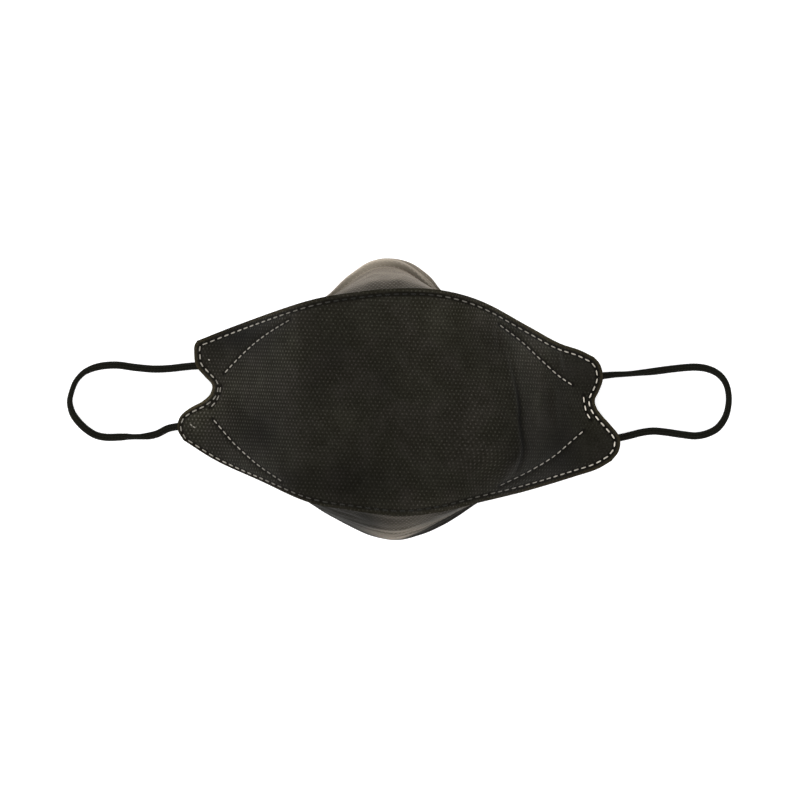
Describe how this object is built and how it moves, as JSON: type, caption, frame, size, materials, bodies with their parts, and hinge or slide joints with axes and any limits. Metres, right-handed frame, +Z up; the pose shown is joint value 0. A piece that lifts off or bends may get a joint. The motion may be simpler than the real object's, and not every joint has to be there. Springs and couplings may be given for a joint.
{
  "type": "respirator mask",
  "caption": "Three-panel folding respirator mask, opened into its cup and lying face side down, with a corner lobe at each end of its two long edges and elastic ear loops.",
  "frame": {"origin": "on the surface under the mask, at the middle of its outline in plan, ear loops left out", "axes": "+X along the mask from the left ear loop to the right one, +Y towards the nose, +Z up out of the front panel"},
  "size_m": [0.2425, 0.1024, 0.0527],
  "materials": {
    "shell_fabric": "black non-woven fabric with an embossed dot pattern, matt",
    "side_fabric": "black non-woven fabric, finely embossed, satin where light grazes it",
    "elastic": "black knitted elastic cord, matt",
    "nose_wire": "soft annealed metal strip"
  },
  "bodies": {
    "root": {"front_panel": "shell_fabric", "nose_panel": "side_fabric", "chin_panel": "side_fabric", "nose_wire": "nose_wire", "ear_loop_left": "elastic", "ear_loop_right": "elastic", "loop_end_left_upper": "elastic", "loop_end_left_lower": "elastic", "loop_end_right_upper": "elastic", "loop_end_right_lower": "elastic"}
  },
  "joints": []
}
